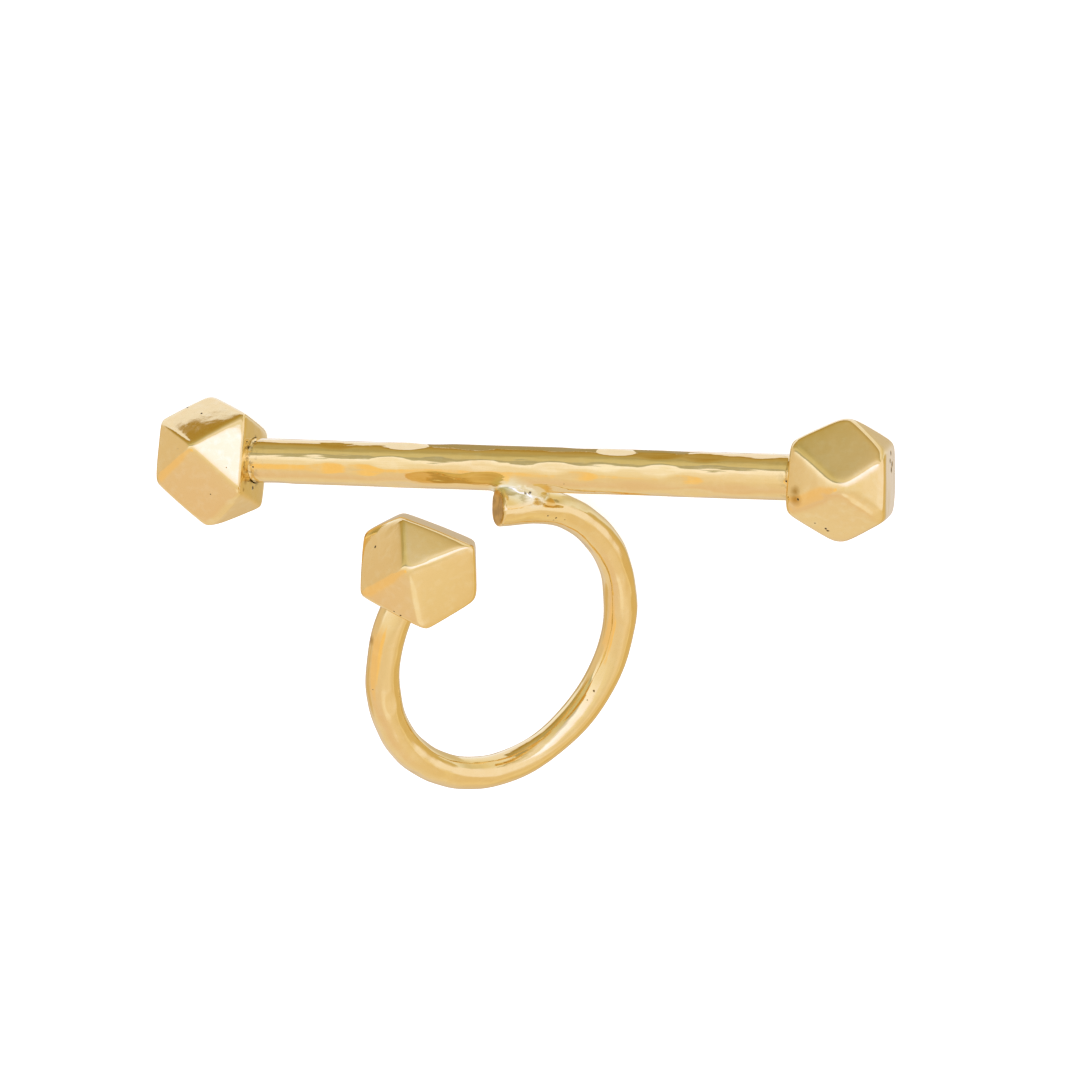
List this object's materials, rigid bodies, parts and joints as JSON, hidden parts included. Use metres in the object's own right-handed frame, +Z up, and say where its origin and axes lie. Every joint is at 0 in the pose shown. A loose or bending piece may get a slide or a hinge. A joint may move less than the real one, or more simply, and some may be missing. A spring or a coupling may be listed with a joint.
{
  "type": "statement ring",
  "caption": "Brass statement ring: a hammered bar with a faceted head on each end, soldered across an open round-wire finger band that ends in a faceted head of its own.",
  "frame": {"origin": "on the floor, under the centre of the box round the ring as it lies by itself", "axes": "+X along the hammered bar towards its right head, +Y from the finger band's side towards the bar, +Z up"},
  "size_m": [0.052, 0.0266, 0.0178],
  "materials": {
    "hammered_brass": "hammer-marked and polished",
    "polished_brass": "mirror polished, with soft edges and a few casting pits"
  },
  "bodies": {
    "root": {"bar_and_band": "hammered_brass", "left_bar_head": "polished_brass", "right_bar_head": "polished_brass", "band_head": "polished_brass"}
  },
  "joints": []
}
